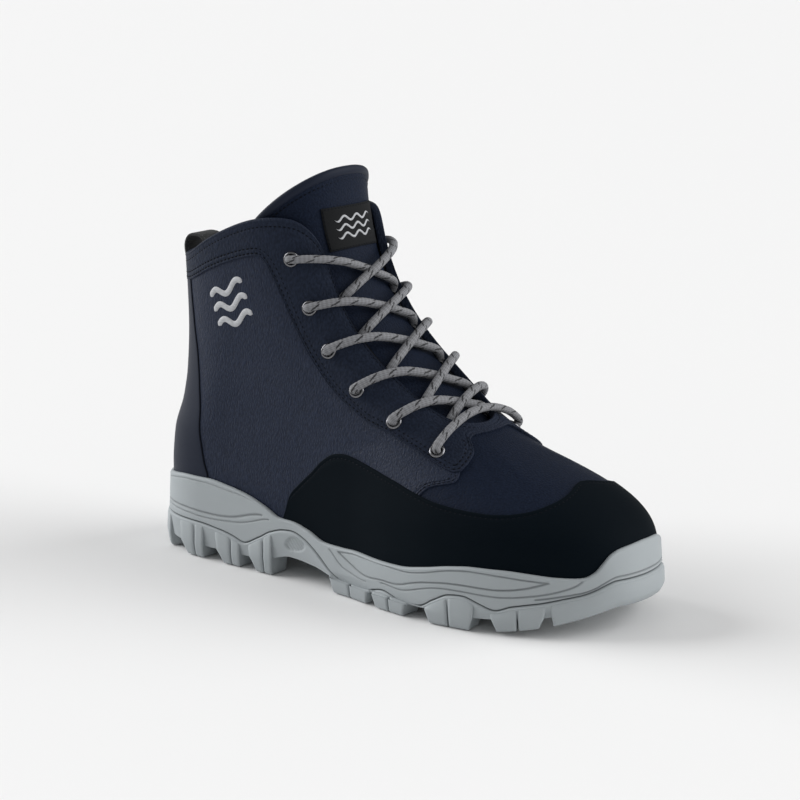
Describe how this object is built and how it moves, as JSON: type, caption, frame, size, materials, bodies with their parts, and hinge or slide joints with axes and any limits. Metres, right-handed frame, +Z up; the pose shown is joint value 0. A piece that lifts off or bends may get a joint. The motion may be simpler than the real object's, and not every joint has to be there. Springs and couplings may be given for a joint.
{
  "type": "wading boot",
  "caption": "Right-foot lace-up wading boot: lugged rubber sole with toe bumper, hollow ankle-high textile upper, abrasion rand, eyeleted facing, tongue and heel pull loop.",
  "frame": {"origin": "middle of the sole's outline, on the ground", "axes": "+X towards the toe, +Y towards the inner side of the foot, +Z up"},
  "size_m": [0.3112, 0.1159, 0.2276],
  "materials": {
    "outsole": "matt, moulded",
    "midsole": "matt, moulded",
    "insole": "knitted",
    "upper": "coated, fine grain",
    "rand": "matt, napped",
    "facing": "coated, fine grain",
    "tongue": "coated, fine grain",
    "label": "woven",
    "webbing": "woven",
    "eyelet": "dark plated",
    "lace": "braided"
  },
  "bodies": {
    "root": {"outsole": "outsole", "midsole": "midsole", "insole": "insole", "upper": "upper", "rand": "rand", "eyestay": "facing", "backstay": "facing", "tongue": "tongue", "tongue_label": "label", "pull_loop": "webbing", "eyelet_lat_1": "eyelet", "eyelet_lat_2": "eyelet", "eyelet_lat_3": "eyelet", "eyelet_lat_4": "eyelet", "eyelet_lat_5": "eyelet", "eyelet_lat_6": "eyelet", "eyelet_med_1": "eyelet", "eyelet_med_2": "eyelet", "eyelet_med_3": "eyelet", "eyelet_med_4": "eyelet", "eyelet_med_5": "eyelet", "eyelet_med_6": "eyelet", "drain_eyelet": "eyelet", "lace_bar": "lace", "lace_cross_1": "lace", "lace_cross_2": "lace", "lace_cross_3": "lace", "lace_cross_4": "lace", "lace_cross_5": "lace"}
  },
  "joints": []
}
